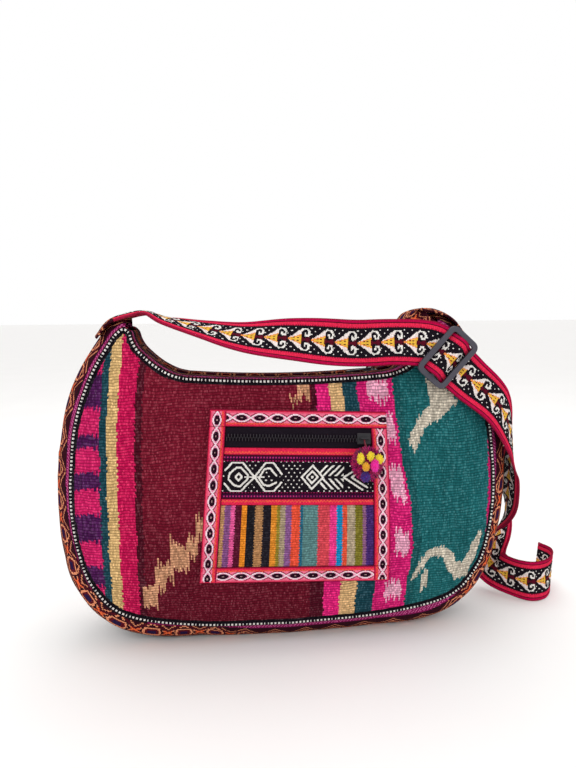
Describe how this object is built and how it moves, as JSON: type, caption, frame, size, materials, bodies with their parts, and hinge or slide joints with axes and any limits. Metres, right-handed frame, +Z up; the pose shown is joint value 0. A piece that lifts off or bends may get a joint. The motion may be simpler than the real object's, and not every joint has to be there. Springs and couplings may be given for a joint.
{
  "type": "half-moon shoulder bag",
  "caption": "Half-moon shoulder bag of striped handwoven cloth with a patterned side belt, zipped patch pocket, pompom pull and adjustable woven strap.",
  "frame": {"origin": "on the floor under the middle of the bag, at the centre of the flattened bottom", "axes": "+X to the viewer's right along the bag, front with the pocket faces -Y, +Z up"},
  "size_m": [0.4757, 0.127, 0.2824],
  "materials": {
    "front_cloth": "striped handwoven cotton",
    "back_cloth": "striped handwoven cotton",
    "belt_webbing": "pattern-woven band",
    "piping_cloth": "corded cotton braid with light stitches",
    "lining_cloth": "thin cotton",
    "placket_cloth": "cotton twill",
    "zip_tape": "woven polyester tape",
    "zip_coil": "nylon coil",
    "zip_metal": "dark painted",
    "pocket_braid": "pattern-woven braid",
    "edging": "narrow woven edging",
    "motif_band": "pattern-woven band",
    "striped_cloth": "handwoven stripes",
    "wool_wine": "wool pompom",
    "wool_pink": "wool pompom",
    "wool_yellow": "wool pompom",
    "wool_navy": "wool pompom",
    "strap_webbing": "pattern-woven band",
    "buckle_plastic": "moulded, satin"
  },
  "bodies": {
    "bag": {"front_panel": "front_cloth", "back_panel": "back_cloth", "gusset_belt": "belt_webbing", "buckle_tab": "belt_webbing", "piping_front": "piping_cloth", "piping_rear": "piping_cloth", "lining": "lining_cloth", "pocket_backing": "lining_cloth", "placket_front": "placket_cloth", "placket_rear": "placket_cloth", "main_zip_tape_front": "zip_tape", "main_zip_tape_rear": "zip_tape", "pocket_zip_tape": "zip_tape", "main_zip_coil": "zip_coil", "pocket_zip_coil": "zip_coil", "pocket_braid_top": "pocket_braid", "pocket_braid_bottom": "pocket_braid", "pocket_braid_left": "pocket_braid", "pocket_braid_right": "pocket_braid", "pocket_zip_edging": "edging", "pocket_lower_edging": "edging", "pocket_motif_band": "motif_band", "pocket_striped_cloth": "striped_cloth", "strap": "strap_webbing", "buckle": "buckle_plastic"},
    "main_zip_slider": {"main_slider": "zip_metal"},
    "main_zip_pull": {"main_pull": "zip_metal"},
    "pocket_zip_slider": {"pocket_slider": "zip_metal"},
    "pompom_pull": {"pompom_cord": "wool_wine", "pompom_wine": "wool_wine", "pompom_pink": "wool_pink", "pompom_yellow_1": "wool_yellow", "pompom_yellow_2": "wool_yellow", "pompom_yellow_3": "wool_yellow", "pompom_yellow_4": "wool_yellow", "pompom_navy": "wool_navy"}
  },
  "joints": [
    {"name": "main_zip_slide", "type": "hinge", "parent": "bag", "child": "main_zip_slider", "pos_m": [0, 0, 1.23225], "axis": [0, 1, 0], "range_deg": [0, 8.7]},
    {"name": "main_pull_lift", "type": "hinge", "parent": "main_zip_slider", "child": "main_zip_pull", "pos_m": [0.07661, 0, 0.22962], "axis": [0, 1, 0], "range_deg": [0, 150]},
    {"name": "pocket_zip_slide", "type": "slide", "parent": "bag", "child": "pocket_zip_slider", "axis": [0.9991, 0, -0.0419], "range_m": [-0.104, 0]},
    {"name": "pompom_swing", "type": "hinge", "parent": "pocket_zip_slider", "child": "pompom_pull", "pos_m": [0.05949, -0.05055, 0.17691], "axis": [0, 1, 0], "range_deg": [-35, 35]}
  ]
}
